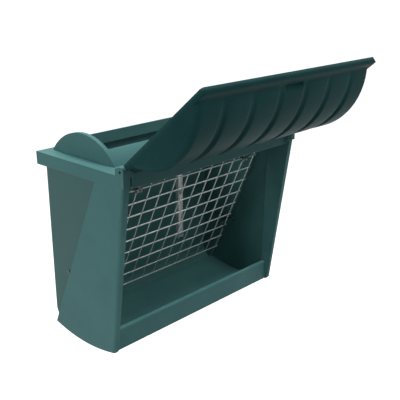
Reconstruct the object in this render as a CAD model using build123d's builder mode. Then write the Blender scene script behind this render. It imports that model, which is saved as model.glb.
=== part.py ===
from build123d import *
import os
from math import cos, radians, sin, tan

# A hanging feeder for hay and hard feed: a moulded tub with a sloping wire grid, a trough and a
# barrel lid. Millimetres, +Z up, the front faces -Y. The origin is the axis of the fence rail that
# the two rear hooks sit on, halfway between them. The lid is modelled in its open position.

# Fence rail and hooks
rail_r = 25.0
rail_gap = 0.5
hook_thick = 5.0
hook_width = 40.0
hook_tail = 24.0
hook_spacing = 424.0
hook_under_rim = 2.0

# Tub
body_length = 770.0
rim_depth = 394.0
rim_skirt = 40.0
rim_rear_overhang = 5.0
wall = 5.0
hinge_above_rim = 12.0
front_reach = 15.7
front_lean = 8.0
side_draft = 0.7
side_recess = 26.5
hopper_edge_r = 8.0
hopper_rise = 6.0
post_width = 24.0
post_corner_r = 8.0
tub_depth_low = 576.0
tub_corner_r = 50.0
bottom_sag = 20.0
bottom_sag_setback = 215.0
tip_rear_setback = 365.0
tip_corner_r = 12.0
crease_top_setback = 94.5
crease_slope = 25.0
return_depth_top = 82.0
return_depth_low = 97.0

# Front beam and trough lip
beam_height = 45.0
beam_depth = 63.0
beam_edge_r = 4.0
lip_setback = 80.0
lip_height = 66.0
lip_thick = 18.0
lip_return = 36.0
lip_edge_r = 7.0

# Half-moon ends and filling opening
barrel_r = 183.0
barrel_rise = 74.0
barrel_setback = 226.0
moon_inset = 48.0
opening_edge = 14.5
opening_front_setback = 123.0
opening_rear_setback = 336.0
rear_lip_rise = 32.0
opening_corner_r = 6.0

# Hinge
block_width = 30.0
block_front = 14.0
block_rear = 20.0
block_height = 43.0
pin_r = 4.0
pin_bore_r = 2.5
pin_running_gap = 0.05
pin_end_inset = 10.0
washer_thick = 1.6
washer_gap = 0.2
washer_r = 8.0
ear_width = 17.0
ear_r = 9.0
ear_web_h = 6.0
open_angle = 139.75
stop_gap = 0.3
stop_width = 6.0

# Lid
lid_wall = 4.0
lid_side_gap = 4.0
lid_end_lean = 4.0
lid_chord = 396.0
lid_nose = 7.5
lid_top = 9.0
lid_skirt_low = 8.5
lid_corner_r = 9.0
lid_block_gap = 2.0
lid_end_r = 14.0
groove_arc_r = 219.0
groove_arc_setback = 205.0
groove_arc_drop = 143.0
panel_arc_r = 209.0
panel_arc_setback = 202.0
panel_arc_drop = 125.0
panel_count = 7
groove_width = 20.0
groove_end_inset = 100.0
grip_width = 72.0
grip_lip_gap = 1.5

# Wire grid
wire_r = 2.0
mesh_pitch = 54.0
cells_wide = 11
cells_high = 9
grid_setback = 68.0
grid_drop = 51.7
grid_slope = 24.06
wire_stub = 5.0
weld_sink = 0.3

# Grid clips, hangers and stays
seat_gap = 0.2
strip_thick = 3.0
strip_width = 28.0
clip_cells_out = 4.5
clip_cells_down = 1
hanger_foot = 30.0
hanger_tail = 12.0
clip_thick = 2.0
clip_width = 30.0
clip_height = 14.0
screw_r = 2.0
clip_screw_spacing = 16.0
clip_screw_offset = 5.5
foot_screw_inset = 12.0
screw_head_r = 3.6
screw_head_h = 2.2
screw_nut_r = 4.0
screw_nut_h = 3.2
screw_tip = 1.0
hole_gap = 0.25
thread_gap = 0.05
stay_cells_down = 7
stay_width = 24.0
stay_grip = 16.0
stay_screw_inset = 9.0
stay_bolt_setback = 300.0
stay_bolt_drop = 394.0
stay_bolt_r = 3.0
stay_head_r = 6.0
stay_head_h = 3.5
stay_nut_r = 5.5
stay_nut_h = 5.0
stay_washer_r = 7.0
stay_washer_thick = 1.2

# Hanger channels and their bolts
channel_width = 24.0
channel_depth = 12.0
channel_thick = 2.0
channel_top_drop = 75.0
channel_low_drop = 466.0
bolt_r = 4.0
bolt_head_r = 7.5
bolt_head_h = 5.0
bolt_nut_r = 7.0
bolt_nut_h = 6.5
bolt_washer_r = 8.0
bolt_washer_thick = 1.6
bolt_first_drop = 120.0
bolt_last_drop = 450.0
bolt_count = 3
hook_low_margin = 16.0
bolt_tip = 2.0

# Places worked out from the values above
half_length = body_length / 2
seat_r = rail_r + rail_gap
rear_y = -(seat_r + hook_thick)
hinge_y = rear_y + rim_rear_overhang - rim_depth
rim_low_z = seat_r + hook_thick + hook_under_rim
rim_top_z = rim_low_z + rim_skirt
hinge_z = rim_top_z + hinge_above_rim
shelf_low_z = rim_top_z - wall
tip_z = rim_top_z - tub_depth_low
hopper_low_z = tip_z + hopper_rise
hopper_x = half_length - side_recess
moon_x = half_length - moon_inset
post_x = half_length - post_width
block_x = half_length - block_width
lean = tan(radians(front_lean))
draft = tan(radians(side_draft))
crease = tan(radians(crease_slope))
far_y = hinge_y - rim_depth
far_z = tip_z - rim_depth
fold = radians(open_angle)
slope = radians(grid_slope)
step_y = mesh_pitch * sin(slope)
step_z = mesh_pitch * cos(slope)
grid_y = hinge_y + grid_setback
grid_z = hinge_z - grid_drop
grid_half = cells_wide * mesh_pitch / 2
clip_x = clip_cells_out * mesh_pitch
clip_shifts = (-clip_screw_spacing / 2, clip_screw_spacing / 2)
cross_rear = 2 * wire_r - weld_sink
strip_front = cross_rear + wire_r + seat_gap
washer_x = block_x - washer_gap - washer_thick
ear_x = washer_x - washer_gap
hook_x = hook_spacing / 2
bolt_drops = [
    bolt_first_drop + (bolt_last_drop - bolt_first_drop) * k / (bolt_count - 1)
    for k in range(bolt_count)
]


def front_y(z):
    """Y of the leaning front plane at height z."""
    return hinge_y - front_reach + lean * (hinge_z - z)


def crease_y(z):
    """Y of the crease between the proud front panel and the recessed side at height z."""
    return hinge_y + crease_top_setback + crease * (rim_top_z - z)


def side_x(z):
    """Half length of the drafted side plane at height z."""
    return half_length - draft * (rim_top_z - z)


def across(outline, half):
    """A prism of an outline in the YZ plane, from -half to +half along X."""
    return extrude(Pos(-half, 0, 0) * outline.sketch, amount=2 * half, mode=Mode.PRIVATE)


# Side outline of the hopper, with its rounded rear foot
with BuildSketch(Plane.YZ) as hopper_side:
    with BuildLine():
        Line((front_y(rim_low_z), rim_low_z), (front_y(hopper_low_z), hopper_low_z))
        ThreePointArc(
            (front_y(hopper_low_z), hopper_low_z),
            (hinge_y + bottom_sag_setback, hopper_low_z - bottom_sag),
            (rear_y, hopper_low_z),
        )
        Line((rear_y, hopper_low_z), (rear_y, rim_low_z))
        Line((rear_y, rim_low_z), (front_y(rim_low_z), rim_low_z))
    make_face()
    fillet(hopper_side.vertices().sort_by_distance((rear_y, hopper_low_z))[0], tub_corner_r)

# Side outline of the proud front panels, from the front plane to the crease
with BuildSketch(Plane.YZ) as panel_side:
    with BuildLine():
        Line((front_y(rim_top_z), rim_top_z), (front_y(tip_z), tip_z))
        ThreePointArc(
            (front_y(tip_z), tip_z),
            (hinge_y + tip_rear_setback / 2 + front_reach, tip_z - bottom_sag),
            (crease_y(tip_z), tip_z),
        )
        Line((crease_y(tip_z), tip_z), (crease_y(rim_top_z), rim_top_z))
        Line((crease_y(rim_top_z), rim_top_z), (front_y(rim_top_z), rim_top_z))
    make_face()
    fillet(panel_side.vertices().sort_by_distance((front_y(tip_z), tip_z))[0], tip_corner_r)

# Front outline with its drafted sides, outside and inside the wall
with BuildSketch(Plane.XZ) as front_outline:
    Polygon(
        (side_x(far_z), far_z),
        (side_x(rim_top_z), rim_top_z),
        (-side_x(rim_top_z), rim_top_z),
        (-side_x(far_z), far_z),
        align=None,
    )
with BuildSketch(Plane.XZ) as front_inside:
    Polygon(
        (side_x(far_z) - wall, far_z),
        (side_x(rim_top_z) - wall, rim_top_z),
        (-side_x(rim_top_z) + wall, rim_top_z),
        (-side_x(far_z) + wall, far_z),
        align=None,
    )

behind = Pos(0, 2 * rim_depth, 0)

# Axis of the half-moon ends
barrel_z = rim_top_z + barrel_rise - barrel_r
barrel_y = hinge_y + barrel_setback

# Side outline of the hinge blocks
with BuildSketch(Plane.YZ) as block_side:
    with BuildLine():
        Line((hinge_y - block_front, hinge_z - block_height), (hinge_y - block_front, hinge_z))
        ThreePointArc(
            (hinge_y - block_front, hinge_z),
            (hinge_y - block_front * cos(radians(45)), hinge_z + block_front * sin(radians(45))),
            (hinge_y, hinge_z + block_front),
        )
        Line((hinge_y, hinge_z + block_front), (hinge_y + block_rear, hinge_z + block_front / 2))
        Line((hinge_y + block_rear, hinge_z + block_front / 2), (hinge_y + block_rear, rim_low_z))
        Line((hinge_y + block_rear, rim_low_z), (hinge_y - block_front, hinge_z - block_height))
    make_face()

# Hopper outline inside its wall
with BuildSketch(Plane.YZ) as hopper_inside:
    add(hopper_side.sketch_local)
    offset(amount=-wall, kind=Kind.INTERSECTION, mode=Mode.REPLACE)
    with Locations((far_y, shelf_low_z)):
        Rectangle(4 * rim_depth, wall + rim_skirt, align=(Align.MIN, Align.MIN), mode=Mode.SUBTRACT)

# Panel outline inside its wall
with BuildSketch(Plane.YZ) as panel_inside:
    add(panel_side.sketch_local)
    offset(amount=-wall, kind=Kind.INTERSECTION, mode=Mode.REPLACE)

# Open underside of the rim beside the hopper
with BuildSketch(Plane.YZ) as rim_gap:
    Polygon(
        (crease_y(shelf_low_z), shelf_low_z),
        (rear_y, shelf_low_z),
        (rear_y, rim_low_z - wall),
        (crease_y(rim_low_z - wall), rim_low_z - wall),
        align=None,
    )

# Return flanges behind the posts
with BuildSketch(Plane.YZ) as return_side:
    Polygon(
        (front_y(rim_low_z) + wall / 2, rim_low_z),
        (hinge_y + return_depth_top, rim_low_z),
        (hinge_y + return_depth_low, tip_z + lip_height),
        (hinge_y + return_depth_low, tip_z),
        (front_y(tip_z) + tip_corner_r, tip_z),
        (front_y(tip_z + tip_corner_r) + wall / 2, tip_z + tip_corner_r),
        align=None,
    )

# Stop steps: their sloping top lies under the open lid's flange
with BuildSketch(Plane.YZ) as step_side:
    Polygon(
        (hinge_y - block_front, hinge_z - block_height),
        (hinge_y - block_front, hinge_z + (ear_r + stop_gap - block_front * sin(fold)) / cos(fold)),
        (hinge_y, hinge_z + (ear_r + stop_gap) / cos(fold)),
        (hinge_y + wall, hinge_z + (ear_r + stop_gap) / cos(fold) - wall),
        (hinge_y + wall, rim_top_z - beam_height),
        align=None,
    )

# Screw places in the beam's lower flange
foot_screws = [
    (side * clip_x + shift, hinge_y + beam_depth - foot_screw_inset)
    for side in (-1, 1)
    for shift in clip_shifts
]

with BuildPart() as body_shell:
    # Hopper with rounded lower and rear edges
    extrude(hopper_side.sketch, amount=hopper_x, both=True)
    hopper_ends = body_shell.faces().filter_by(Axis.X)
    rounded = [
        e
        for f in hopper_ends
        for e in f.edges()
        if e.center().Z < tip_z + tub_corner_r or abs(e.center().Y - rear_y) < wall
    ]
    fillet(rounded, hopper_edge_r)
    # Proud front panels, drafted at the sides
    panel_block = across(panel_side, half_length)
    draft_block = extrude(behind * front_outline.sketch, amount=4 * rim_depth, mode=Mode.PRIVATE)
    panels = panel_block & draft_block
    corners = [e for e in panels.edges() if abs(e.center().X) > hopper_x and e.center().Y < front_y(tip_z)
               and e.length > rim_depth]
    panels = panels.solid().fillet(post_corner_r, corners)
    add(panels)
    # Rim with its skirt
    with BuildSketch(Plane.XY.offset(rim_low_z)):
        with Locations((0, hinge_y + rim_depth / 2)):
            Rectangle(body_length, rim_depth)
    rim_block = extrude(amount=rim_skirt, mode=Mode.PRIVATE)
    add(rim_block & draft_block)
    # Half-moon ends and the strips between them
    with BuildSketch(Plane.YZ):
        with Locations((barrel_y, barrel_z)):
            Circle(barrel_r)
        with Locations((barrel_y, shelf_low_z)):
            Rectangle(3 * barrel_r, 3 * barrel_r, align=(Align.CENTER, Align.MIN), mode=Mode.INTERSECT)
    extrude(amount=moon_x, both=True)
    # Hinge blocks with the stop steps beside them
    with Locations((block_x, 0, 0)):
        add(extrude(block_side.sketch, amount=block_width, mode=Mode.PRIVATE))
    with Locations((-half_length, 0, 0)):
        add(extrude(block_side.sketch, amount=block_width, mode=Mode.PRIVATE))

    # Hopper inside, with its own rounded edges
    hollow = across(hopper_inside, hopper_x - wall)
    inner_edges = [
        e
        for f in hollow.faces().filter_by(Axis.X)
        for e in f.edges()
        if e.center().Z < tip_z + tub_corner_r or abs(e.center().Y - rear_y) < 2 * wall
    ]
    hollow = hollow.solid().fillet(hopper_edge_r - wall, inner_edges)
    add(hollow, mode=Mode.SUBTRACT)
    # Space above the hopper inside, up to the shelf
    with BuildSketch(Plane.XY.offset(rim_low_z - 2 * wall)) as well:
        Polygon(
            (hopper_x - wall, crease_y(rim_low_z)),
            (hopper_x - wall, rear_y - wall),
            (wall - hopper_x, rear_y - wall),
            (wall - hopper_x, crease_y(rim_low_z)),
            align=None,
        )
        fillet(well.vertices().filter_by_position(Axis.Y, rear_y - 2 * wall, rear_y), hopper_edge_r - wall)
    extrude(amount=shelf_low_z - rim_low_z + 2 * wall, mode=Mode.SUBTRACT)
    # Pockets behind the proud panels
    pocket_block = across(panel_inside, half_length)
    inside_block = extrude(behind * front_inside.sketch, amount=4 * rim_depth, mode=Mode.PRIVATE)
    add(pocket_block & inside_block, mode=Mode.SUBTRACT)
    # Open underside of the rim beside the hopper
    rim_run = half_length - wall - (half_length - side_x(rim_low_z)) - hopper_x
    with Locations((hopper_x, 0, 0)):
        add(extrude(rim_gap.sketch, amount=rim_run, mode=Mode.PRIVATE), mode=Mode.SUBTRACT)
    with Locations((-hopper_x - rim_run, 0, 0)):
        add(extrude(rim_gap.sketch, amount=rim_run, mode=Mode.PRIVATE), mode=Mode.SUBTRACT)
    # Barrel inside and the filling opening
    with BuildSketch(Plane.YZ):
        with Locations((barrel_y, barrel_z)):
            Circle(barrel_r - wall)
        with Locations((barrel_y, shelf_low_z - wall)):
            Rectangle(3 * barrel_r, 3 * barrel_r, align=(Align.CENTER, Align.MIN), mode=Mode.INTERSECT)
    extrude(amount=moon_x - wall, both=True, mode=Mode.SUBTRACT)
    with BuildSketch(Plane.XY.offset(shelf_low_z)):
        with Locations((0, hinge_y + (opening_front_setback + opening_rear_setback) / 2)):
            RectangleRounded(
                2 * (moon_x - opening_edge),
                opening_rear_setback - opening_front_setback,
                opening_corner_r,
            )
    extrude(amount=2 * barrel_rise, mode=Mode.SUBTRACT)
    # Upright lip behind the opening, clear of the shut lid's grip recess, and the shelf behind it
    with BuildSketch(Plane.XY.offset(rim_top_z)):
        with Locations((0, hinge_y + opening_rear_setback)):
            Rectangle(2 * (moon_x - opening_edge), barrel_r, align=(Align.CENTER, Align.MIN))
    extrude(amount=2 * barrel_rise, mode=Mode.SUBTRACT)
    with BuildSketch(Plane.YZ):
        with Locations((hinge_y + opening_rear_setback, shelf_low_z)):
            Rectangle(wall, wall + rear_lip_rise, align=(Align.MIN, Align.MIN))
            Rectangle(rim_depth - opening_rear_setback, wall, align=(Align.MIN, Align.MIN))
    extrude(amount=moon_x - wall, both=True)
    # Return flanges behind the posts
    with Locations((post_x, 0, 0)):
        add(extrude(return_side.sketch, amount=wall, mode=Mode.PRIVATE))
    with Locations((-post_x - wall, 0, 0)):
        add(extrude(return_side.sketch, amount=wall, mode=Mode.PRIVATE))
    # Front window, from under the shelf down in front of the lip
    with BuildSketch(Plane.YZ):
        Polygon(
            (far_y, shelf_low_z),
            (front_y(rim_low_z) + 2 * wall, shelf_low_z),
            (hinge_y + lip_setback, tip_z + lip_height),
            (hinge_y + lip_setback, far_z),
            (far_y, far_z),
            align=None,
        )
    extrude(amount=post_x, both=True, mode=Mode.SUBTRACT)
    with BuildSketch(Plane.YZ):
        with Locations((hinge_y, shelf_low_z - 2 * wall)):
            Rectangle(rim_depth, rim_depth, align=(Align.MAX, Align.MIN))
    extrude(amount=block_x, both=True, mode=Mode.SUBTRACT)
    # Front beam, open to the rear
    with BuildSketch(Plane.YZ) as beam_side:
        with BuildLine():
            Polyline(
                (hinge_y, rim_top_z),
                (hinge_y + beam_depth, rim_top_z),
                (hinge_y + beam_depth, shelf_low_z),
                (hinge_y + wall, shelf_low_z),
                (hinge_y + wall, rim_top_z - beam_height + wall),
                (hinge_y + beam_depth, rim_top_z - beam_height + wall),
                (hinge_y + beam_depth, rim_top_z - beam_height),
                (hinge_y, rim_top_z - beam_height),
                close=True,
            )
        make_face()
        beam_front = beam_side.vertices().filter_by_position(Axis.X, hinge_y - wall / 2, hinge_y + wall / 2)
        fillet(beam_front, beam_edge_r)
    extrude(amount=post_x + wall, both=True)
    # Trough lip with its turned-down rear edge
    with BuildSketch(Plane.YZ) as lip_side:
        with BuildLine():
            Polyline(
                (hinge_y + lip_setback, tip_z),
                (hinge_y + lip_setback, tip_z + lip_height),
                (hinge_y + lip_setback + lip_thick, tip_z + lip_height),
                (hinge_y + lip_setback + lip_thick, tip_z + lip_height - lip_return),
                (hinge_y + lip_setback + lip_thick - wall, tip_z + lip_height - lip_return),
                (hinge_y + lip_setback + lip_thick - wall, tip_z + lip_height - wall),
                (hinge_y + lip_setback + wall, tip_z + lip_height - wall),
                (hinge_y + lip_setback + wall, tip_z),
                close=True,
            )
        make_face()
        fillet(
            lip_side.vertices().filter_by_position(
                Axis.Y, tip_z + lip_height - wall / 2, tip_z + lip_height + wall / 2
            ),
            lip_edge_r,
        )
    extrude(amount=post_x + wall, both=True)
    # Stop steps beside the hinge blocks, just under the open lid
    with BuildSketch(Plane.YZ.offset(block_x - stop_width)):
        add(step_side.sketch_local)
    extrude(amount=stop_width)
    with BuildSketch(Plane.YZ.offset(-block_x)):
        add(step_side.sketch_local)
    extrude(amount=stop_width)
    # Holes for the hinge pins
    with BuildSketch(Plane.YZ.offset(-half_length - wall)):
        with Locations((hinge_y, hinge_z)):
            Circle(pin_r + pin_running_gap)
    extrude(amount=2 * (half_length + wall), mode=Mode.SUBTRACT)
    # Holes for the hook bolts, the stay bolts and the hanger screws
    with BuildSketch(Plane.XZ.offset(-rear_y)):
        with Locations(*[(x, hinge_z - d) for x in (-hook_x, hook_x) for d in bolt_drops]):
            Circle(bolt_r + hole_gap)
    extrude(amount=2 * wall, mode=Mode.SUBTRACT)
    with BuildSketch(Plane.YZ.offset(-half_length)):
        with Locations((hinge_y + stay_bolt_setback, hinge_z - stay_bolt_drop)):
            Circle(stay_bolt_r + hole_gap)
    extrude(amount=2 * half_length, mode=Mode.SUBTRACT)
    with BuildSketch(Plane.XY.offset(rim_top_z - beam_height)):
        with Locations(*foot_screws):
            Circle(screw_r + hole_gap)
    extrude(amount=wall, mode=Mode.SUBTRACT)

# Lid planes: the side view reads (setback, height), the plan view reads (length, setback)
lid_side = Plane(
    origin=(0, hinge_y, hinge_z),
    x_dir=(0, cos(fold), sin(fold)),
    z_dir=(1, 0, 0),
)
lid_plan = Plane(
    origin=(0, hinge_y, hinge_z),
    x_dir=(1, 0, 0),
    z_dir=(0, -sin(fold), cos(fold)),
)
lid_cross = Plane(
    origin=(0, hinge_y, hinge_z),
    x_dir=(1, 0, 0),
    z_dir=(0, -cos(fold), -sin(fold)),
)
lid_length = body_length - 2 * lid_side_gap
lid_half = lid_length / 2
nose_half = ear_x - ear_width
notch_x = block_x - lid_block_gap
notch_s = block_rear + lid_block_gap
end_lean = tan(radians(lid_end_lean))
panel_pitch = (lid_length - 2 * groove_end_inset) / (panel_count - 2)
groove_places = [(k - (panel_count - 2) / 2) * panel_pitch for k in range(panel_count - 1)]
panel_places = [(k - (panel_count - 1) / 2) * panel_pitch for k in range(panel_count)]

# Plan of the lid's flange, notched round the hinge blocks
with BuildSketch(lid_plan) as lid_outline:
    with BuildLine():
        Polyline(
            (-nose_half, -lid_nose),
            (nose_half, -lid_nose),
            (nose_half, 0),
            (notch_x, 0),
            (notch_x, notch_s),
            (lid_half, notch_s),
            (lid_half, lid_chord),
            (-lid_half, lid_chord),
            (-lid_half, notch_s),
            (-notch_x, notch_s),
            (-notch_x, 0),
            (-nose_half, 0),
            close=True,
        )
    make_face()
    far_corners = lid_outline.vertices().filter_by_position(Axis.Y, lid_chord - wall, lid_chord + wall)
    fillet(far_corners, lid_corner_r)

with BuildSketch(lid_plan.offset(-lid_skirt_low)) as flange_outline:
    add(lid_outline.sketch_local)
with BuildSketch(lid_plan.offset(-lid_skirt_low)) as flange_inside:
    add(lid_outline.sketch_local)
    offset(amount=-lid_wall, kind=Kind.INTERSECTION, mode=Mode.REPLACE)

# Plans of the pockets inside the panels, and of the grip recess with its walls
grip_setback = opening_rear_setback + wall + grip_lip_gap + lid_wall
pocket_width = panel_pitch - groove_width - 2 * lid_wall
end_pocket_x = groove_places[-1] + groove_width / 2 + lid_wall
with BuildSketch(lid_plan) as pocket_outlines:
    with Locations(*[(x, 0) for x in panel_places[1:-1]]):
        Rectangle(pocket_width, lid_chord, align=(Align.CENTER, Align.MIN))
    with Locations((end_pocket_x, 0)):
        Rectangle(lid_half - end_pocket_x, lid_chord, align=(Align.MIN, Align.MIN))
    with Locations((-lid_half, 0)):
        Rectangle(lid_half - end_pocket_x, lid_chord, align=(Align.MIN, Align.MIN))
with BuildSketch(lid_plan.offset(lid_top - lid_wall)) as grip_walls:
    with Locations((0, grip_setback - lid_wall)):
        Rectangle(grip_width + 2 * lid_wall, lid_chord - grip_setback, align=(Align.CENTER, Align.MIN))
with BuildSketch(lid_plan.offset(lid_top)) as grip_space:
    with Locations((0, grip_setback)):
        Rectangle(grip_width, lid_chord - grip_setback, align=(Align.CENTER, Align.MIN))

# Cross outline of the lid with its leaning ends, outside and inside the wall
with BuildSketch(lid_cross.offset(rim_depth)) as lid_ends:
    Polygon(
        (lid_half, -lid_skirt_low),
        (lid_half - end_lean * groove_arc_r, groove_arc_r - lid_skirt_low),
        (end_lean * groove_arc_r - lid_half, groove_arc_r - lid_skirt_low),
        (-lid_half, -lid_skirt_low),
        align=None,
    )
with BuildSketch(lid_cross.offset(rim_depth)) as lid_ends_inside:
    Polygon(
        (lid_half - lid_wall, -lid_skirt_low),
        (lid_half - lid_wall - end_lean * groove_arc_r, groove_arc_r - lid_skirt_low),
        (end_lean * groove_arc_r + lid_wall - lid_half, groove_arc_r - lid_skirt_low),
        (lid_wall - lid_half, -lid_skirt_low),
        align=None,
    )

# Side outlines of the barrel at its panels, and inside its wall at the grooves and the panels
with BuildSketch(lid_side.offset(-lid_half)) as panel_arc:
    with Locations((panel_arc_setback, -panel_arc_drop)):
        Circle(panel_arc_r)
    with Locations((groove_arc_setback, lid_top - lid_wall)):
        Rectangle(3 * groove_arc_r, 3 * groove_arc_r, align=(Align.CENTER, Align.MIN), mode=Mode.INTERSECT)
with BuildSketch(lid_side.offset(-lid_half)) as groove_arc_inside:
    with Locations((groove_arc_setback, -groove_arc_drop)):
        Circle(groove_arc_r - lid_wall)
    with Locations((panel_arc_setback, -panel_arc_drop)):
        Circle(panel_arc_r - lid_wall, mode=Mode.INTERSECT)
    with Locations((groove_arc_setback, 0)):
        Rectangle(3 * groove_arc_r, 3 * groove_arc_r, align=(Align.CENTER, Align.MIN), mode=Mode.INTERSECT)
with BuildSketch(lid_side.offset(-lid_half)) as panel_arc_inside:
    with Locations((panel_arc_setback, -panel_arc_drop)):
        Circle(panel_arc_r - lid_wall)
    with Locations((groove_arc_setback, 0)):
        Rectangle(3 * groove_arc_r, 3 * groove_arc_r, align=(Align.CENTER, Align.MIN), mode=Mode.INTERSECT)

with BuildPart() as lid_shell:
    lid_block = extrude(lid_ends.sketch, amount=-3 * rim_depth, mode=Mode.PRIVATE)
    inside_block = extrude(lid_ends_inside.sketch, amount=-3 * rim_depth, mode=Mode.PRIVATE)
    # Flange with its skirt
    flange_height = lid_skirt_low + lid_top
    flange = extrude(flange_outline.sketch, amount=flange_height, mode=Mode.PRIVATE)
    add(flange & lid_block)
    # Barrel with leaning, rounded ends
    barrel = extrude(panel_arc.sketch, amount=lid_length, mode=Mode.PRIVATE) & lid_block
    arcs = [e for e in barrel.edges() if e.geom_type not in (GeomType.LINE, GeomType.CIRCLE)]
    barrel = barrel.solid().fillet(lid_end_r, arcs)
    add(barrel)
    # Grooves between the panels
    with BuildSketch(lid_side.offset(groove_places[0] - groove_width / 2)):
        with Locations((panel_arc_setback, -panel_arc_drop)):
            Circle(groove_arc_r)
        with Locations((groove_arc_setback, -groove_arc_drop)):
            Circle(groove_arc_r, mode=Mode.SUBTRACT)
        with Locations((groove_arc_setback, lid_top)):
            span = 3 * groove_arc_r
            Rectangle(span, span, align=(Align.CENTER, Align.MIN), mode=Mode.INTERSECT)
    groove = extrude(amount=groove_width, mode=Mode.PRIVATE)
    for place in groove_places:
        add(Pos(place - groove_places[0], 0, 0) * groove, mode=Mode.SUBTRACT)
    # Hollow underside of the flange, the barrel and the panels
    flange_hollow = extrude(flange_inside.sketch, amount=flange_height - lid_wall, mode=Mode.PRIVATE)
    add(flange_hollow & inside_block, mode=Mode.SUBTRACT)
    hollow = extrude(groove_arc_inside.sketch, amount=lid_length, mode=Mode.PRIVATE) & inside_block
    arcs = [e for e in hollow.edges() if e.geom_type not in (GeomType.LINE, GeomType.CIRCLE)]
    hollow = hollow.solid().fillet(lid_end_r - lid_wall, arcs)
    pocket = extrude(panel_arc_inside.sketch, amount=lid_length, mode=Mode.PRIVATE) & inside_block
    arcs = [e for e in pocket.edges() if e.geom_type not in (GeomType.LINE, GeomType.CIRCLE)]
    pocket = pocket.solid().fillet(lid_end_r - lid_wall, arcs)
    pockets = pocket & extrude(pocket_outlines.sketch, amount=groove_arc_r, mode=Mode.PRIVATE)
    add(hollow + pockets, mode=Mode.SUBTRACT)
    # Grip recess: its floor runs level into the flange
    add(barrel & extrude(grip_walls.sketch, amount=groove_arc_r, mode=Mode.PRIVATE))
    extrude(grip_space.sketch, amount=groove_arc_r, mode=Mode.SUBTRACT)
    # Hinge ears beside the blocks, bored for the pins
    with BuildSketch(lid_side.offset(nose_half)) as ear_side:
        Circle(ear_r)
        with Locations((0, -ear_web_h)):
            Rectangle(notch_s, ear_web_h + lid_top, align=(Align.MIN, Align.MIN))
    extrude(amount=ear_width)
    with BuildSketch(lid_side.offset(-nose_half - ear_width)):
        add(ear_side.sketch_local)
    extrude(amount=ear_width)
    with BuildSketch(lid_side.offset(-lid_half)):
        Circle(pin_r + pin_running_gap)
    extrude(amount=lid_length, mode=Mode.SUBTRACT)

# Hinge pins: tubes pushed through the blocks into the ears
with BuildPart() as hinge_pin_right:
    with BuildSketch(Plane.YZ.offset(nose_half)):
        with Locations((hinge_y, hinge_z)):
            Circle(pin_r)
            Circle(pin_bore_r, mode=Mode.SUBTRACT)
    extrude(amount=half_length - pin_end_inset - nose_half)

with BuildPart() as hinge_pin_left:
    mirror(hinge_pin_right.part, about=Plane.YZ)

with BuildPart() as hinge_washers:
    for start in (washer_x, -washer_x - washer_thick):
        with BuildSketch(Plane.YZ.offset(start)):
            with Locations((hinge_y, hinge_z)):
                Circle(washer_r)
                Circle(pin_r + hole_gap, mode=Mode.SUBTRACT)
        extrude(amount=washer_thick)

# Wire grid: its plane reads (length, down the slope), with the rear side positive
grid_plane = Plane(
    origin=(0, grid_y, grid_z),
    x_dir=(1, 0, 0),
    z_dir=(0, cos(slope), sin(slope)),
)
wire_half = grid_half + wire_stub

with BuildPart() as grid_long_wires:
    with BuildSketch(Plane.YZ.offset(-wire_half)):
        with Locations(*[(grid_y + k * step_y, grid_z - k * step_z) for k in range(cells_high + 1)]):
            Circle(wire_r)
    extrude(amount=2 * wire_half)

wire_start = grid_plane * Pos(0, -wire_stub, cross_rear)
wire_plane = Plane(
    origin=wire_start.position,
    x_dir=(1, 0, 0),
    z_dir=(0, sin(slope), -cos(slope)),
)

with BuildPart() as grid_cross_wires:
    with BuildSketch(wire_plane):
        with Locations(*[(k * mesh_pitch - grid_half, 0) for k in range(cells_wide + 1)]):
            Circle(wire_r)
    extrude(amount=cells_high * mesh_pitch + 2 * wire_stub)

# Grid hangers: screwed on the beam's lower flange, folded down behind the wires
foot_z = rim_top_z - beam_height
clip_s = clip_cells_down * mesh_pitch
hanger_end = clip_s + hanger_tail


def on_grid(s, rear):
    """(Y, Z) of a point of the grid plane: s down the slope, rear of the wire centres."""
    return (
        grid_y + s * sin(slope) + rear * cos(slope),
        grid_z - s * cos(slope) + rear * sin(slope),
    )


def grid_s(z, rear):
    """Distance down the slope at which a line rear of the wires reaches height z."""
    return (grid_z + rear * sin(slope) - z) / cos(slope)


hanger_near = hinge_y + beam_depth - hanger_foot
fold_in = on_grid(grid_s(foot_z - strip_thick, strip_front), strip_front)
fold_out = on_grid(grid_s(foot_z, strip_front + strip_thick), strip_front + strip_thick)

with BuildPart() as grid_hanger_right:
    with BuildSketch(Plane.YZ.offset(clip_x - strip_width / 2)):
        Polygon(
            (hanger_near, foot_z - strip_thick),
            fold_in,
            on_grid(hanger_end, strip_front),
            on_grid(hanger_end, strip_front + strip_thick),
            fold_out,
            (hanger_near, foot_z),
            align=None,
        )
    extrude(amount=strip_width)
    # Slot for the cross wire
    with BuildSketch(Plane.XY.offset(foot_z)):
        with Locations((clip_x, fold_out[0])):
            Rectangle(2 * (wire_r + 2 * hole_gap), 3 * hanger_tail)
    extrude(amount=-strip_thick - wall, mode=Mode.SUBTRACT)
    # Holes for the foot screws and the clip screws
    with BuildSketch(Plane.XY.offset(foot_z)):
        with Locations(*foot_screws[2:]):
            Circle(screw_r + hole_gap)
    extrude(amount=-strip_thick, mode=Mode.SUBTRACT)
    with BuildSketch(grid_plane.offset(strip_front)):
        with Locations(*[(clip_x + d, clip_s + clip_screw_offset) for d in clip_shifts]):
            Circle(screw_r + hole_gap)
    extrude(amount=strip_thick, mode=Mode.SUBTRACT)

with BuildPart() as grid_hanger_left:
    mirror(grid_hanger_right.part, about=Plane.YZ)

# Bent stays between the side walls and the grid's lower part
stay_s = stay_cells_down * mesh_pitch
stay_y = hinge_y + stay_bolt_setback
stay_z = hinge_z - stay_bolt_drop
stay_foot_x = hopper_x - wall - strip_thick
stay_end_x = grid_half - stay_grip
stay_screw_x = grid_half - stay_screw_inset

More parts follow.
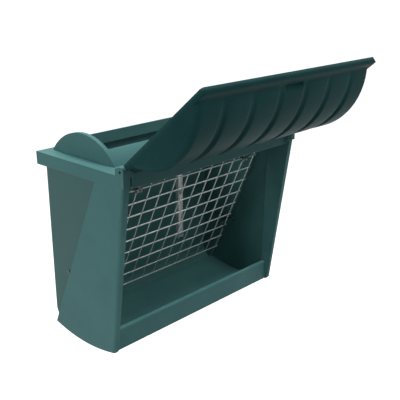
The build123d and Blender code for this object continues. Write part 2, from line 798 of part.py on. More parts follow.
with BuildPart() as grid_stay_right:
    with BuildSketch(Plane.YZ.offset(stay_foot_x)):
        Polygon(
            on_grid(stay_s - stay_width / 2, strip_front),
            on_grid(stay_s + stay_width / 2, strip_front),
            (stay_y + stay_width / 2, stay_z - stay_width / 2),
            (stay_y + stay_width / 2, stay_z + stay_width / 2),
            align=None,
        )
    extrude(amount=strip_thick)
    with BuildSketch(grid_plane.offset(strip_front)):
        with Locations((stay_end_x, stay_s)):
            Rectangle(stay_foot_x + strip_thick - stay_end_x, stay_width, align=(Align.MIN, Align.CENTER))
    extrude(amount=strip_thick)
    # Holes for the stay bolt and the clip screw
    with BuildSketch(Plane.YZ.offset(stay_foot_x)):
        with Locations((stay_y, stay_z)):
            Circle(stay_bolt_r + hole_gap)
    extrude(amount=strip_thick, mode=Mode.SUBTRACT)
    with BuildSketch(grid_plane.offset(strip_front)):
        with Locations((stay_screw_x, stay_s + clip_screw_offset)):
            Circle(screw_r + hole_gap)
    extrude(amount=strip_thick, mode=Mode.SUBTRACT)

with BuildPart() as grid_stay_left:
    mirror(grid_stay_right.part, about=Plane.YZ)

# Clips in front of the wires, their screws and nuts
clip_face = wire_r + seat_gap
top_screws = [(side * clip_x + d, clip_s + clip_screw_offset) for side in (-1, 1) for d in clip_shifts]
low_screws = [(side * stay_screw_x, stay_s + clip_screw_offset) for side in (-1, 1)]

with BuildPart() as grid_clips:
    with BuildSketch(grid_plane.offset(-clip_face)):
        with Locations(*[(side * clip_x, clip_s + clip_screw_offset / 2) for side in (-1, 1)]):
            Rectangle(clip_width, clip_height)
        with Locations(*[(side * stay_screw_x, stay_s + clip_screw_offset / 2) for side in (-1, 1)]):
            Rectangle(clip_height, clip_height)
    extrude(amount=-clip_thick)
    with BuildSketch(grid_plane.offset(-clip_face)):
        with Locations(*top_screws, *low_screws):
            Circle(screw_r + hole_gap)
    extrude(amount=-clip_thick, mode=Mode.SUBTRACT)

screw_run = clip_face + clip_thick + strip_front + strip_thick + screw_nut_h + screw_tip

with BuildPart() as clip_screws_left:
    with BuildSketch(grid_plane.offset(-clip_face - clip_thick)):
        with Locations(*top_screws[:2]):
            Circle(screw_head_r)
    extrude(amount=-screw_head_h)
    with BuildSketch(grid_plane.offset(-clip_face - clip_thick)):
        with Locations(*top_screws[:2]):
            Circle(screw_r)
    extrude(amount=screw_run)

with BuildPart() as clip_screws_right:
    with BuildSketch(grid_plane.offset(-clip_face - clip_thick)):
        with Locations(*top_screws[2:]):
            Circle(screw_head_r)
    extrude(amount=-screw_head_h)
    with BuildSketch(grid_plane.offset(-clip_face - clip_thick)):
        with Locations(*top_screws[2:]):
            Circle(screw_r)
    extrude(amount=screw_run)

with BuildPart() as stay_screws:
    with BuildSketch(grid_plane.offset(-clip_face - clip_thick)):
        with Locations(*low_screws):
            Circle(screw_head_r)
    extrude(amount=-screw_head_h)
    with BuildSketch(grid_plane.offset(-clip_face - clip_thick)):
        with Locations(*low_screws):
            Circle(screw_r)
    extrude(amount=screw_run)

with BuildPart() as clip_nuts:
    with BuildSketch(grid_plane.offset(strip_front + strip_thick)):
        with Locations(*top_screws):
            RegularPolygon(screw_nut_r, 6)
            Circle(screw_r + thread_gap, mode=Mode.SUBTRACT)
    extrude(amount=screw_nut_h)

with BuildPart() as stay_screw_nuts:
    with BuildSketch(grid_plane.offset(strip_front + strip_thick)):
        with Locations(*low_screws):
            RegularPolygon(screw_nut_r, 6)
            Circle(screw_r + thread_gap, mode=Mode.SUBTRACT)
    extrude(amount=screw_nut_h)

# Screws and nuts of the hanger feet
with BuildPart() as hanger_screws:
    with BuildSketch(Plane.XY.offset(foot_z - strip_thick)):
        with Locations(*foot_screws):
            Circle(screw_head_r)
    extrude(amount=-screw_head_h)
    with BuildSketch(Plane.XY.offset(foot_z - strip_thick)):
        with Locations(*foot_screws):
            Circle(screw_r)
    extrude(amount=strip_thick + wall + screw_nut_h + screw_tip)

with BuildPart() as hanger_nuts:
    with BuildSketch(Plane.XY.offset(foot_z + wall)):
        with Locations(*foot_screws):
            RegularPolygon(screw_nut_r, 6)
            Circle(screw_r + thread_gap, mode=Mode.SUBTRACT)
    extrude(amount=screw_nut_h)

# Stay bolts with their washers and nuts, one set in each side wall
stay_washer_x = stay_foot_x - stay_washer_thick
stay_nut_x = stay_washer_x - stay_nut_h
stay_tip_x = stay_nut_x - screw_tip

with BuildPart() as stay_bolts:
    for start, run, head in (
        (stay_tip_x, hopper_x - stay_tip_x, hopper_x),
        (-hopper_x, hopper_x - stay_tip_x, -hopper_x - stay_head_h),
    ):
        with BuildSketch(Plane.YZ.offset(start)):
            with Locations((stay_y, stay_z)):
                Circle(stay_bolt_r)
        extrude(amount=run)
        with BuildSketch(Plane.YZ.offset(head)):
            with Locations((stay_y, stay_z)):
                Circle(stay_head_r)
        extrude(amount=stay_head_h)

with BuildPart() as stay_washers:
    for start in (stay_washer_x, -stay_foot_x):
        with BuildSketch(Plane.YZ.offset(start)):
            with Locations((stay_y, stay_z)):
                Circle(stay_washer_r)
                Circle(stay_bolt_r + hole_gap, mode=Mode.SUBTRACT)
        extrude(amount=stay_washer_thick)

with BuildPart() as stay_nuts:
    for start in (stay_nut_x, -stay_washer_x):
        with BuildSketch(Plane.YZ.offset(start)):
            with Locations((stay_y, stay_z)):
                RegularPolygon(stay_nut_r, 6)
                Circle(stay_bolt_r + thread_gap, mode=Mode.SUBTRACT)
        extrude(amount=stay_nut_h)

# Hooks that carry the feeder on the rail
hook_low_z = hinge_z - bolt_last_drop - hook_low_margin

with BuildPart() as hook_right:
    with BuildSketch(Plane.YZ.offset(hook_x - hook_width / 2)):
        Circle(seat_r + hook_thick)
        with Locations((0, 0)):
            Rectangle(4 * seat_r, 2 * seat_r, align=(Align.CENTER, Align.MAX), mode=Mode.SUBTRACT)
        with Locations((rear_y, hook_low_z)):
            Rectangle(hook_thick, -hook_low_z, align=(Align.MIN, Align.MIN))
        with Locations((-rear_y, -hook_tail)):
            Rectangle(hook_thick, hook_tail, align=(Align.MAX, Align.MIN))
        Circle(seat_r, mode=Mode.SUBTRACT)
    extrude(amount=hook_width)
    with BuildSketch(Plane.XZ.offset(-rear_y)):
        with Locations(*[(hook_x, hinge_z - d) for d in bolt_drops]):
            Circle(bolt_r + hole_gap)
    extrude(amount=-hook_thick, mode=Mode.SUBTRACT)

with BuildPart() as hook_left:
    mirror(hook_right.part, about=Plane.YZ)

# Channels inside the rear wall
web_y = rear_y - wall - channel_thick
with BuildPart() as channel_right:
    with BuildSketch(Plane.XY.offset(hinge_z - channel_low_drop)):
        with Locations((hook_x, rear_y - wall)):
            Rectangle(channel_width, channel_depth, align=(Align.CENTER, Align.MAX))
        with Locations((hook_x, web_y)):
            Rectangle(
                channel_width - 2 * channel_thick,
                channel_depth,
                align=(Align.CENTER, Align.MAX),
                mode=Mode.SUBTRACT,
            )
    extrude(amount=channel_low_drop - channel_top_drop)
    with BuildSketch(Plane.XZ.offset(-web_y)):
        with Locations(*[(hook_x, hinge_z - d) for d in bolt_drops]):
            Circle(bolt_r + hole_gap)
    extrude(amount=-channel_thick, mode=Mode.SUBTRACT)

with BuildPart() as channel_left:
    mirror(channel_right.part, about=Plane.YZ)

# Hook bolts with their washers and nuts
bolt_spots = [(x, hinge_z - d) for x in (-hook_x, hook_x) for d in bolt_drops]

with BuildPart() as hook_bolts:
    with BuildSketch(Plane.XZ.offset(seat_r)):
        with Locations(*bolt_spots):
            Circle(bolt_head_r)
    extrude(amount=-bolt_head_h)
    with BuildSketch(Plane.XZ.offset(seat_r)):
        with Locations(*bolt_spots):
            Circle(bolt_r)
    extrude(amount=hook_thick + wall + channel_thick + bolt_washer_thick + bolt_nut_h + bolt_tip)

with BuildPart() as hook_washers:
    with BuildSketch(Plane.XZ.offset(-web_y)):
        with Locations(*bolt_spots):
            Circle(bolt_washer_r)
            Circle(bolt_r + hole_gap, mode=Mode.SUBTRACT)
    extrude(amount=bolt_washer_thick)

with BuildPart() as hook_nuts:
    with BuildSketch(Plane.XZ.offset(bolt_washer_thick - web_y)):
        with Locations(*bolt_spots):
            RegularPolygon(bolt_nut_r, 6)
            Circle(bolt_r + thread_gap, mode=Mode.SUBTRACT)
    extrude(amount=bolt_nut_h)

# Files
os.makedirs("parts", exist_ok=True)
body_shell.part.label = "body_shell"
export_step(body_shell.part, "parts/body_shell.step")
lid_shell.part.label = "lid_shell"
export_step(lid_shell.part, "parts/lid_shell.step")
hinge_pin_left.part.label = "hinge_pin_left"
export_step(hinge_pin_left.part, "parts/hinge_pin_left.step")
hinge_pin_right.part.label = "hinge_pin_right"
export_step(hinge_pin_right.part, "parts/hinge_pin_right.step")
hinge_washers.part.label = "hinge_washers"
export_step(hinge_washers.part, "parts/hinge_washers.step")
grid_long_wires.part.label = "grid_long_wires"
export_step(grid_long_wires.part, "parts/grid_long_wires.step")
grid_cross_wires.part.label = "grid_cross_wires"
export_step(grid_cross_wires.part, "parts/grid_cross_wires.step")
grid_hanger_left.part.label = "grid_hanger_left"
export_step(grid_hanger_left.part, "parts/grid_hanger_left.step")
grid_hanger_right.part.label = "grid_hanger_right"
export_step(grid_hanger_right.part, "parts/grid_hanger_right.step")
hanger_screws.part.label = "hanger_screws"
export_step(hanger_screws.part, "parts/hanger_screws.step")
hanger_nuts.part.label = "hanger_nuts"
export_step(hanger_nuts.part, "parts/hanger_nuts.step")
grid_clips.part.label = "grid_clips"
export_step(grid_clips.part, "parts/grid_clips.step")
clip_screws_left.part.label = "clip_screws_left"
export_step(clip_screws_left.part, "parts/clip_screws_left.step")
clip_screws_right.part.label = "clip_screws_right"
export_step(clip_screws_right.part, "parts/clip_screws_right.step")
clip_nuts.part.label = "clip_nuts"
export_step(clip_nuts.part, "parts/clip_nuts.step")
stay_screws.part.label = "stay_screws"
export_step(stay_screws.part, "parts/stay_screws.step")
stay_screw_nuts.part.label = "stay_screw_nuts"
export_step(stay_screw_nuts.part, "parts/stay_screw_nuts.step")
grid_stay_left.part.label = "grid_stay_left"
export_step(grid_stay_left.part, "parts/grid_stay_left.step")
grid_stay_right.part.label = "grid_stay_right"
export_step(grid_stay_right.part, "parts/grid_stay_right.step")
stay_bolts.part.label = "stay_bolts"
export_step(stay_bolts.part, "parts/stay_bolts.step")
stay_washers.part.label = "stay_washers"
export_step(stay_washers.part, "parts/stay_washers.step")
stay_nuts.part.label = "stay_nuts"
export_step(stay_nuts.part, "parts/stay_nuts.step")
hook_left.part.label = "hook_left"
export_step(hook_left.part, "parts/hook_left.step")
hook_right.part.label = "hook_right"
export_step(hook_right.part, "parts/hook_right.step")
channel_left.part.label = "channel_left"
export_step(channel_left.part, "parts/channel_left.step")
channel_right.part.label = "channel_right"
export_step(channel_right.part, "parts/channel_right.step")
hook_bolts.part.label = "hook_bolts"
export_step(hook_bolts.part, "parts/hook_bolts.step")
hook_washers.part.label = "hook_washers"
export_step(hook_washers.part, "parts/hook_washers.step")
hook_nuts.part.label = "hook_nuts"
export_step(hook_nuts.part, "parts/hook_nuts.step")
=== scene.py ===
import bpy
import numpy as np
from math import acos, atan2, pi, radians, tan
from mathutils import Matrix, Vector


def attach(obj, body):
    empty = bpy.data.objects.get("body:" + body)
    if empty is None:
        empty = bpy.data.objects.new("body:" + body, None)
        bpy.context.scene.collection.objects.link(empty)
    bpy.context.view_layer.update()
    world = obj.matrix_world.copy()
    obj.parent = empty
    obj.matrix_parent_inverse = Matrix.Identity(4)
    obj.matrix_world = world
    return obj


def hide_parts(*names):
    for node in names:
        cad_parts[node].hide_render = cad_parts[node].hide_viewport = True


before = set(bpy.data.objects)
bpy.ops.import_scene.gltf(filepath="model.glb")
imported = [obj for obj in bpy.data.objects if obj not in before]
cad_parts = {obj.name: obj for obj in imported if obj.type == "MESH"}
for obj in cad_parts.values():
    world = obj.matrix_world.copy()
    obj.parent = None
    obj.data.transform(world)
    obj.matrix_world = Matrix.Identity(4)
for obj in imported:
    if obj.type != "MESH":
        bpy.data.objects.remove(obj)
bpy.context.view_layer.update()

# Camera: a 62 mm view from the feeder's left front corner, a little above it. It stands 1.86 m
# from the outer end of the left hinge pin, which all its angles were measured from.
hinge = Vector((-0.385, -0.4195, 0.0845))
stand = hinge + Vector((-1.1377, -1.3778, 0.5301))
sight = Vector((0.6857, 0.6518, -0.3239)).normalized()
right = Vector((0.6890, -0.7248, 0.0)).normalized()
upward = right.cross(sight).normalized()
lens = bpy.data.cameras.new("camera")
lens.sensor_fit = "HORIZONTAL"
lens.sensor_width = 36.0
lens.lens = 62.24
camera = bpy.data.objects.new("camera", lens)
camera.matrix_world = Matrix((
    (right.x, upward.x, -sight.x, stand.x),
    (right.y, upward.y, -sight.y, stand.y),
    (right.z, upward.z, -sight.z, stand.z),
    (0.0, 0.0, 0.0, 1.0),
))
bpy.context.scene.collection.objects.link(camera)
bpy.context.scene.camera = camera
bpy.context.scene.view_settings.view_transform = "Standard"


# Studio lights: a soft lamp overhead for the rim, a wide one straight from the left for the side,
# and a high one in front, which reaches the trough under the open lid and leaves the hopper dark.
def soft_lamp(name, place, target, size, watts):
    light = bpy.data.lights.new(name, "AREA")
    light.shape = "SQUARE"
    light.size = size
    light.energy = watts
    lamp = bpy.data.objects.new(name, light)
    away = Vector(place) - Vector(target)
    lamp.matrix_world = Matrix.Translation(place) @ away.to_track_quat("Z", "Y").to_matrix().to_4x4()
    bpy.context.scene.collection.objects.link(lamp)


soft_lamp("lamp_overhead", (0.1, 0.7, 2.6), (0.0, -0.1, 0.0), 0.9, 95.0)
soft_lamp("lamp_left", (-3.3, -0.2, 0.6), (0.0, -0.2, -0.3), 1.8, 47.0)
soft_lamp("lamp_front", (0.3, -2.9, 2.2), (0.0, -0.3, -0.3), 1.2, 48.0)


# Nodes and colours: one call adds a shader node with its settings and its links, one turns a
# written sRGB colour into the linear one that a socket takes, one opens an empty material and one
# spreads a pattern's values between two colours.
def add_node(tree, kind, settings=None, links=None, **attributes):
    node = tree.nodes.new(kind)
    for name, value in attributes.items():
        setattr(node, name, value)
    for name, value in (settings or {}).items():
        node.inputs[name].default_value = value
    for name, source in (links or {}).items():
        tree.links.new(source, node.inputs[name])
    return node


def linear(code):
    parts = [int(code[i:i + 2], 16) / 255.0 for i in (1, 3, 5)]
    return tuple(p / 12.92 if p <= 0.04045 else ((p + 0.055) / 1.055) ** 2.4 for p in parts) + (1.0,)


def blank_material(name):
    """An empty material, its node tree and the object's own coordinates in metres."""
    skin = bpy.data.materials.new(name)
    skin.use_nodes = True
    tree = skin.node_tree
    tree.nodes.clear()
    return skin, tree, add_node(tree, "ShaderNodeTexCoord").outputs["Object"]


def between(tree, pattern, deep, pale):
    """A colour ramp from deep at 0 to pale at 1, read with the pattern's value."""
    tint = add_node(tree, "ShaderNodeValToRGB", links={"Fac": pattern})
    tint.color_ramp.elements[0].color = linear(deep)
    tint.color_ramp.elements[1].color = linear(pale)
    return tint


# Air: a pale room that lights the shadows a little. The camera, and what metal mirrors, see it
# as plain white.
world = bpy.data.worlds.new("studio_air")
bpy.context.scene.world = world
world.use_nodes = True
air = world.node_tree
air.nodes.clear()


def seen_directly(tree):
    """1 on the rays of the camera, of a mirror image and of glass, and 0 on the rest."""
    ray = add_node(tree, "ShaderNodeLightPath")
    mirrored = add_node(tree, "ShaderNodeMath", operation="MAXIMUM",
                        links={0: ray.outputs["Is Camera Ray"], 1: ray.outputs["Is Glossy Ray"]})
    return add_node(tree, "ShaderNodeMath", operation="MAXIMUM",
                    links={0: mirrored.outputs[0], 1: ray.outputs["Is Transmission Ray"]})


shown = seen_directly(air)
dim = add_node(air, "ShaderNodeBackground", {"Color": (0.92, 0.97, 1.0, 1.0), "Strength": 0.22})
white = add_node(air, "ShaderNodeBackground", {"Color": (1.0, 1.0, 1.0, 1.0), "Strength": 1.0})
mixed = add_node(air, "ShaderNodeMixShader",
                 links={0: shown.outputs[0], 1: dim.outputs[0], 2: white.outputs[0]})
add_node(air, "ShaderNodeOutputWorld", links={"Surface": mixed.outputs[0]})

# Floor: pale painted ground 1.1 m below the fence rail, as where such a feeder hangs. It is matt,
# with a faint mottle, and it keeps the soft shadow of the feeder.
rail_height = 1.1
floor_half = 40.0
floor_mesh = bpy.data.meshes.new("floor")
floor_mesh.from_pydata([(-floor_half, -floor_half, -rail_height), (floor_half, -floor_half, -rail_height),
                        (floor_half, floor_half, -rail_height), (-floor_half, floor_half, -rail_height)],
                       [], [(0, 1, 2, 3)])
floor = bpy.data.objects.new("floor", floor_mesh)
bpy.context.scene.collection.objects.link(floor)
paint, tree, place = blank_material("floor_paint_matt")
mottle = add_node(tree, "ShaderNodeTexNoise", {"Scale": 3.0, "Detail": 3.0}, {"Vector": place})
tint = between(tree, mottle.outputs["Fac"], "#a9acac", "#b4b7b7")
matt = add_node(tree, "ShaderNodeBsdfDiffuse", links={"Color": tint.outputs["Color"]})
level = add_node(tree, "ShaderNodeMath", {1: 0.97}, {0: seen_directly(tree).outputs[0]}, operation="MULTIPLY")
glow = add_node(tree, "ShaderNodeEmission", {"Color": (1.0, 1.0, 1.0, 1.0)}, {"Strength": level.outputs[0]})
ground = add_node(tree, "ShaderNodeAddShader", links={0: matt.outputs[0], 1: glow.outputs[0]})
add_node(tree, "ShaderNodeOutputMaterial", links={"Surface": ground.outputs[0]})
floor_mesh.materials.append(paint)


# Tub: one hollow piece of green polyethylene, powder melted on the walls of a turning mould. The
# skin is satin with an orange peel of 2 to 3 mm, slow clouds of tone, and edges rounded 3 mm; the recessed
# side panels take a darker colour as painted shade.
def moulded_polyethylene(name, deep, pale, recess_shade, shine):
    skin, tree, place = blank_material(name)
    clouds = add_node(tree, "ShaderNodeTexNoise", {"Scale": 6.0, "Detail": 5.0, "Roughness": 0.6},
                      {"Vector": place})
    tint = between(tree, clouds.outputs["Fac"], deep, pale)
    tint.color_ramp.elements[0].position = 0.3
    tint.color_ramp.elements[1].position = 0.75
    # Painted shade: the recessed side panels, picked out by their distance from the middle, take a darker
    # colour that stands in for the shade under the rim and behind the crease
    panel_x = 0.3585
    panel_slack = 0.0008
    split = add_node(tree, "ShaderNodeSeparateXYZ", links={"Vector": place})
    apart = add_node(tree, "ShaderNodeMath", links={0: split.outputs["X"]}, operation="ABSOLUTE")
    recess_shade_mask = add_node(tree, "ShaderNodeMath", {1: panel_x, 2: panel_slack}, {0: apart.outputs[0]},
                      operation="COMPARE")
    shade = add_node(tree, "ShaderNodeMix", {7: linear(recess_shade)},
                     {0: recess_shade_mask.outputs[0], 6: tint.outputs["Color"]}, data_type="RGBA")
    # Fine scuffs, streaks about a millimetre wide where hay and hands rub
    streak = add_node(tree, "ShaderNodeMapping", {"Scale": (90.0, 90.0, 900.0), "Rotation": (0.3, 0.5, 0.2)},
                      {"Vector": place})
    scuffs = add_node(tree, "ShaderNodeTexNoise", {"Scale": 1.0, "Detail": 2.0},
                      {"Vector": streak.outputs["Vector"]})
    worn = add_node(tree, "ShaderNodeMapRange", {"From Min": 0.62, "From Max": 0.8, "To Max": 0.12},
                    {"Value": scuffs.outputs["Fac"]})
    rubbed = add_node(tree, "ShaderNodeMix", {7: linear("#6f8f8c")},
                      {0: worn.outputs["Result"], 6: shade.outputs[2]}, data_type="RGBA")
    soft = add_node(tree, "ShaderNodeBevel", {"Radius": 0.003}, samples=6)
    swell = add_node(tree, "ShaderNodeTexNoise", {"Scale": 14.0, "Detail": 1.0}, {"Vector": place})
    waves = add_node(tree, "ShaderNodeBump", {"Strength": 0.22, "Distance": 0.002},
                     {"Height": swell.outputs["Fac"], "Normal": soft.outputs["Normal"]})
    peel = add_node(tree, "ShaderNodeTexNoise", {"Scale": 400.0, "Detail": 2.0}, {"Vector": place})
    grain = add_node(tree, "ShaderNodeBump", {"Strength": 0.14, "Distance": 0.0004},
                     {"Height": peel.outputs["Fac"], "Normal": waves.outputs["Normal"]})
    gloss = add_node(tree, "ShaderNodeMapRange", {"To Min": 0.4, "To Max": 0.54},
                     {"Value": clouds.outputs["Fac"]})
    shader = add_node(tree, "ShaderNodeBsdfPrincipled", {"IOR": 1.5, "Specular IOR Level": shine},
                      {"Base Color": rubbed.outputs[2], "Roughness": gloss.outputs["Result"],
                       "Normal": grain.outputs["Normal"]})
    add_node(tree, "ShaderNodeOutputMaterial", links={"Surface": shader.outputs[0]})
    return skin


def finish_node(name, material):
    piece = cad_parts[name]
    piece.data.materials.clear()
    piece.data.materials.append(material)


# The third colour is painted shade for the recessed side panels.
tub_skin = moulded_polyethylene("polyethylene_moulded_green", "#41696a", "#4a7573", "#436462", 0.08)
finish_node("body_shell", tub_skin)


# Hinge pins and washers: zinc-plated tube pushed through the moulded blocks, bright and faintly
# crazed, with black nylon washers that have a semi-gloss moulded skin.
def zinc_coat(name, dark, light, rough, spangle, metal):
    """Crystals of the spangle's width in metres, each with its own tone and roughness."""
    skin, tree, place = blank_material(name)
    crystals = add_node(tree, "ShaderNodeTexVoronoi", {"Scale": 1.0 / spangle}, {"Vector": place})
    tone = add_node(tree, "ShaderNodeSeparateColor", links={"Color": crystals.outputs["Color"]})
    tint = between(tree, tone.outputs["Red"], dark, light)
    frost = add_node(tree, "ShaderNodeMapRange", {"To Min": rough - 0.07, "To Max": rough + 0.09},
                     {"Value": tone.outputs["Green"]})
    pits = add_node(tree, "ShaderNodeTexNoise", {"Scale": 0.7 / spangle, "Detail": 3.0}, {"Vector": place})
    bumps = add_node(tree, "ShaderNodeBump", {"Strength": 0.2, "Distance": 0.0003},
                     {"Height": pits.outputs["Fac"]})
    shader = add_node(tree, "ShaderNodeBsdfPrincipled", {"Metallic": metal},
                      {"Base Color": tint.outputs["Color"], "Roughness": frost.outputs["Result"],
                       "Normal": bumps.outputs["Normal"]})
    add_node(tree, "ShaderNodeOutputMaterial", links={"Surface": shader.outputs[0]})
    return skin


plated = zinc_coat("steel_bright_zinc_plated", "#a9adb0", "#c9cdd0", 0.3, 0.0015, 1.0)
finish_node("hinge_pin_left", plated)
finish_node("hinge_pin_right", plated)

nylon, tree, place = blank_material("nylon_moulded_black")
mould = add_node(tree, "ShaderNodeTexNoise", {"Scale": 300.0, "Detail": 2.0}, {"Vector": place})
tint = between(tree, mould.outputs["Fac"], "#1d1f1f", "#272929")
shader = add_node(tree, "ShaderNodeBsdfPrincipled", {"IOR": 1.53, "Roughness": 0.38},
                  {"Base Color": tint.outputs["Color"]})
add_node(tree, "ShaderNodeOutputMaterial", links={"Surface": shader.outputs[0]})
finish_node("hinge_washers", nylon)

# Lid: a second polyethylene moulding in a deeper green, open underneath. A flange with a turned
# down skirt runs round a barrel of seven panels, between six soft grooves that hands can feel.
lid_wall = 0.004
lid_half = 0.381
lid_far = 0.396
lid_corner = 0.009
flange_top = 0.009
skirt_low = -0.0085
nose = -0.0075
nose_half = 0.336
ear_half = 0.353
block_notch = 0.022
ear_slot = 0.006
notch_step = 0.0003
row_gap = 0.003
end_lean = tan(radians(4.0))
end_round = 0.014
panel_r = 0.209
panel_s = 0.202
panel_h = -0.125
groove_r = 0.219
groove_s = 0.205
groove_h = -0.143
groove_pitch = 0.1124
groove_floor = 0.004
groove_flank = 0.016
panel_crown = 0.0015
grip_half = 0.036
grip_start = 0.3465
grip_flank = 0.004
grip_brow = 0.004
weld_reach = 0.00005
open_turn = radians(139.75)


def smooth(value, low, high):
    """0 below low, 1 above high, and the curve 3t^2 - 2t^3 between them."""
    t = np.clip((value - low) / (high - low), 0.0, 1.0)
    return t * t * (3.0 - 2.0 * t)


def in_lid(x, s, h):
    """Turns a point of the lid, x along the hinge, s out from it and h above it, to the open lid's
    place: s and h turn about the hinge axis by the opening angle."""
    y = hinge.y + s * np.cos(open_turn) - h * np.sin(open_turn)
    z = hinge.z + s * np.sin(open_turn) + h * np.cos(open_turn)
    return np.stack(np.broadcast_arrays(x, y, z), axis=-1)


def sheet_mesh(name, points, closed=False):
    """A mesh of four-sided faces over a grid of points, the second direction joined up if closed."""
    rows, columns = points.shape[:2]
    number = np.arange(rows * columns).reshape(rows, columns)
    after = np.roll(number, -1, axis=1)
    last = columns if closed else columns - 1
    faces = np.stack([number[:-1], number[1:], after[1:], after[:-1]], axis=-1)[:, :last].reshape(-1, 4)
    mesh = bpy.data.meshes.new(name)
    mesh.from_pydata(points.reshape(-1, 3).tolist(), [], faces.tolist())
    mesh.shade_smooth()
    return mesh


def barrel_radius(x, angle):
    """The barrel's radius about the panel circle's centre: the panel circle less a slight crown,
    and less the depth down to the groove circle inside the smooth flanks of each groove."""
    across = panel_s - groove_s
    down = panel_h - groove_h
    along = across * np.cos(angle) + down * np.sin(angle)
    to_groove = -along + np.sqrt(groove_r ** 2 - across ** 2 - down ** 2 + along ** 2)
    depth = np.maximum(panel_r - to_groove, 0.0)
    places = (np.arange(6) - 2.5) * groove_pitch
    near = np.min(np.abs(np.abs(x)[..., None] - places), axis=-1)
    crown = panel_crown * (1.0 - np.clip(near / (groove_pitch / 2.0), 0.0, 1.0)) ** 2
    return panel_r - crown - depth * (1.0 - smooth(near, groove_floor, groove_flank))


def lid_surface():
    """The lid's outer skin. Rows run along the lid and columns across it, from the hinge skirt over
    the flange, the barrel and the flange again to the far skirt. On a middle row the barrel keeps
    its radius. On the rows of the rounding the radius shrinks by a quarter circle, on the rows of
    the end wall it shrinks to the chord at the flange, and the last row drops to the skirt's edge."""
    first = atan2(flange_top - panel_h, -((panel_r ** 2 - (flange_top - panel_h) ** 2) ** 0.5))
    wall_foot = atan2(flange_top - panel_h, grip_start - panel_s)
    wall_head = acos((grip_start - panel_s) / panel_r)
    angle = np.sort(np.append(np.linspace(first, pi - first, 84), (wall_foot, wall_head - grip_brow)))[::-1]
    chord = (flange_top - panel_h) / np.sin(angle)

    over_ear = [0.343, 0.348]
    notches = [nose_half, nose_half + notch_step, *over_ear, ear_half, ear_half + notch_step]
    inner = np.concatenate([np.arange(0.0, nose_half - row_gap / 3.0, row_gap), notches])
    turn = np.linspace(0.0, pi / 2.0, 9)
    fall = np.linspace(1.0, 0.0, 7)[1:]
    ends = np.concatenate([inner, lid_half + end_round * (np.sin(turn) - 1.0), np.full(fall.size, lid_half)])
    rounding = end_round * (1.0 - np.cos(turn))
    inset = np.concatenate([np.zeros(inner.size), rounding, np.full(fall.size, end_round)])
    share = np.concatenate([np.ones(inner.size + turn.size), fall])

    x_row = ends[:, None] + np.zeros_like(angle)
    radius = barrel_radius(x_row, angle) - inset[:, None]
    radius = np.maximum(radius, chord)
    radius = chord + (radius - chord) * share[:, None]
    inside = 1.0 - smooth(x_row, grip_half, grip_half + grip_flank)
    cut = np.where(np.cos(angle) > 0.0, (grip_start - panel_s) / np.maximum(np.cos(angle), 1e-6), panel_r)
    radius = radius + inside * (np.maximum(np.minimum(radius, cut), chord) - radius)
    s_barrel = panel_s + radius * np.cos(angle)
    h_barrel = panel_h + radius * np.sin(angle)

    near = np.where(ends <= nose_half, nose, np.where(ends <= ear_half, ear_slot, block_notch))
    corner = np.maximum(ends - (lid_half - lid_corner), 0.0)
    far = lid_far - lid_corner + np.sqrt(np.maximum(lid_corner ** 2 - corner ** 2, 0.0))
    s_first = s_barrel[:, :1]
    s_last = s_barrel[:, -1:]
    near_flange = near[:, None] + (s_first - near[:, None]) * np.array([0.0, 0.0, 0.5])
    far_flange = s_last + (far[:, None] - s_last) * np.array([0.5, 1.0, 1.0])
    s = np.concatenate([near_flange, s_barrel, far_flange], axis=1)
    level = np.full((ends.size, 1), flange_top)
    low = np.full((ends.size, 1), skirt_low)
    h = np.concatenate([low, level, level, h_barrel, level, level, low], axis=1)
    x_face = lid_half - end_lean * (h - skirt_low)
    blend = smooth(ends, ear_half, lid_half - end_round)[:, None]
    x = ends[:, None] - blend * (lid_half - x_face)
    s = np.concatenate([s, s[-1:]])
    h = np.concatenate([h, np.full_like(h[-1:], skirt_low)])
    x = np.concatenate([x, np.full_like(x[-1:], lid_half)])
    points = in_lid(x, s, h)
    mirrored = points[:0:-1] * np.array([-1.0, 1.0, 1.0])
    return np.concatenate([mirrored, points])


lid = bpy.data.objects.new("lid_moulding", sheet_mesh("lid_moulding", lid_surface()))
bpy.context.scene.collection.objects.link(lid)
weld = lid.modifiers.new("weld", "WELD")
weld.merge_threshold = weld_reach
wall = lid.modifiers.new("wall", "SOLIDIFY")
wall.thickness = lid_wall
wall.offset = -1.0
lid_skin = moulded_polyethylene("polyethylene_moulded_deep_green", "#153637", "#1b3f40", "#153637", 0.03)
lid.data.materials.append(lid_skin)
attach(lid, "lid")

# Lid ears: the two thick lugs of the same moulding that the pins run in, a boss round the bore
# and a web back into the flange.
ear_r = 0.009
ear_web = 0.006
ear_sink = 0.0005
ear_bore = 0.00405


def ear_surface(start, end):
    """Carries a ring section round the bore: bore, end face, rim and start face. At the angle a the
    rim's distance from the axis is the boss radius, or where that is further the web's box edge,
    which is the lesser of block_notch / cos(a) and side / |sin(a)| on the web's side."""
    turn = np.linspace(0.0, 2.0 * pi, 96, endpoint=False)
    out = np.maximum(np.cos(turn), 1e-9)
    side = np.where(np.sin(turn) > 0.0, flange_top - ear_sink, ear_web)
    side = side / np.maximum(np.abs(np.sin(turn)), 1e-9)
    box = np.where(np.cos(turn) > 1e-3, np.minimum(block_notch / out, side), 0.0)
    rim = np.maximum(ear_r, box)
    bore = np.full_like(rim, ear_bore)
    ring = np.stack([bore, bore, rim, rim, bore], axis=0)
    x = np.array([start, end, end, start, start])[:, None] + np.zeros_like(rim)
    return in_lid(x, ring * np.cos(turn), ring * np.sin(turn))


for name, start, end in (("lid_ear_right", nose_half, ear_half), ("lid_ear_left", -ear_half, -nose_half)):
    ear = bpy.data.objects.new(name, sheet_mesh(name, ear_surface(start, end), closed=True))
    bpy.context.scene.collection.objects.link(ear)
    ear.data.shade_flat()
    ear.data.materials.append(lid_skin)
    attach(ear, "lid")
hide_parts("lid_shell")

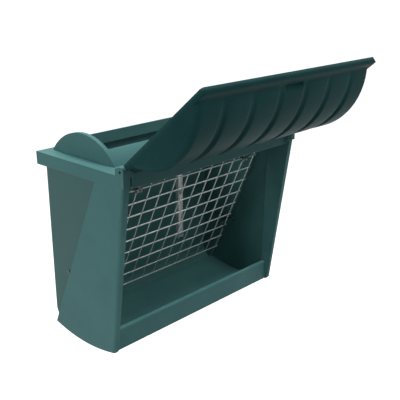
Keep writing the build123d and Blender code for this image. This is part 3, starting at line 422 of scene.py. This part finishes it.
# Hay grid: 4 mm mild steel wire, spot welded at each crossing and dipped in molten zinc, which
# sets to a dull light grey with crystals a few millimetres across.
dipped = zinc_coat("steel_hot_dip_galvanised", "#8f9896", "#b2bab7", 0.5, 0.004, 0.55)
finish_node("grid_long_wires", dipped)
finish_node("grid_cross_wires", dipped)


# Grid hangers, clips and stays: bent steel strip under a dark green powder coat, baked to a fine
# even pebble with soft gloss, and the screws and bolts painted with them.
def powder_coat(name, deep, pale):
    skin, tree, place = blank_material(name)
    pebble = add_node(tree, "ShaderNodeTexNoise", {"Scale": 900.0, "Detail": 2.0}, {"Vector": place})
    tint = between(tree, pebble.outputs["Fac"], deep, pale)
    soft = add_node(tree, "ShaderNodeBevel", {"Radius": 0.0006}, samples=4)
    bumps = add_node(tree, "ShaderNodeBump", {"Strength": 0.25, "Distance": 0.0003},
                     {"Height": pebble.outputs["Fac"], "Normal": soft.outputs["Normal"]})
    shader = add_node(tree, "ShaderNodeBsdfPrincipled", {"IOR": 1.5, "Roughness": 0.35},
                      {"Base Color": tint.outputs["Color"], "Normal": bumps.outputs["Normal"]})
    add_node(tree, "ShaderNodeOutputMaterial", links={"Surface": shader.outputs[0]})
    return skin


coated = powder_coat("steel_green_powder_coat", "#1b3534", "#25443f")
for name in ("grid_hanger_left", "grid_hanger_right", "grid_clips", "clip_screws_left", "grid_stay_left",
             "grid_stay_right", "stay_screws", "stay_bolts"):
    finish_node(name, coated)

# Small screws, nuts and washers of the grid: machine screws with a bright electroplated zinc coat.
for name in ("hanger_screws", "hanger_nuts", "clip_screws_right", "clip_nuts", "stay_screw_nuts",
             "stay_washers", "stay_nuts"):
    finish_node(name, plated)

# Channels inside the rear wall: pressed zinc-coated strip that spreads the hook bolts' pull, newer
# and so brighter and more frosted to the eye than the wire.
frosted = zinc_coat("steel_strip_galvanised", "#dddadd", "#f0eef0", 0.45, 0.006, 0.45)
finish_node("channel_left", frosted)
finish_node("channel_right", frosted)

# Rail hooks: 5 mm flat bar bent over the fence rail and dipped, held by three plated bolts each.
finish_node("hook_left", dipped)
finish_node("hook_right", dipped)
for name in ("hook_bolts", "hook_washers", "hook_nuts"):
    finish_node(name, plated)
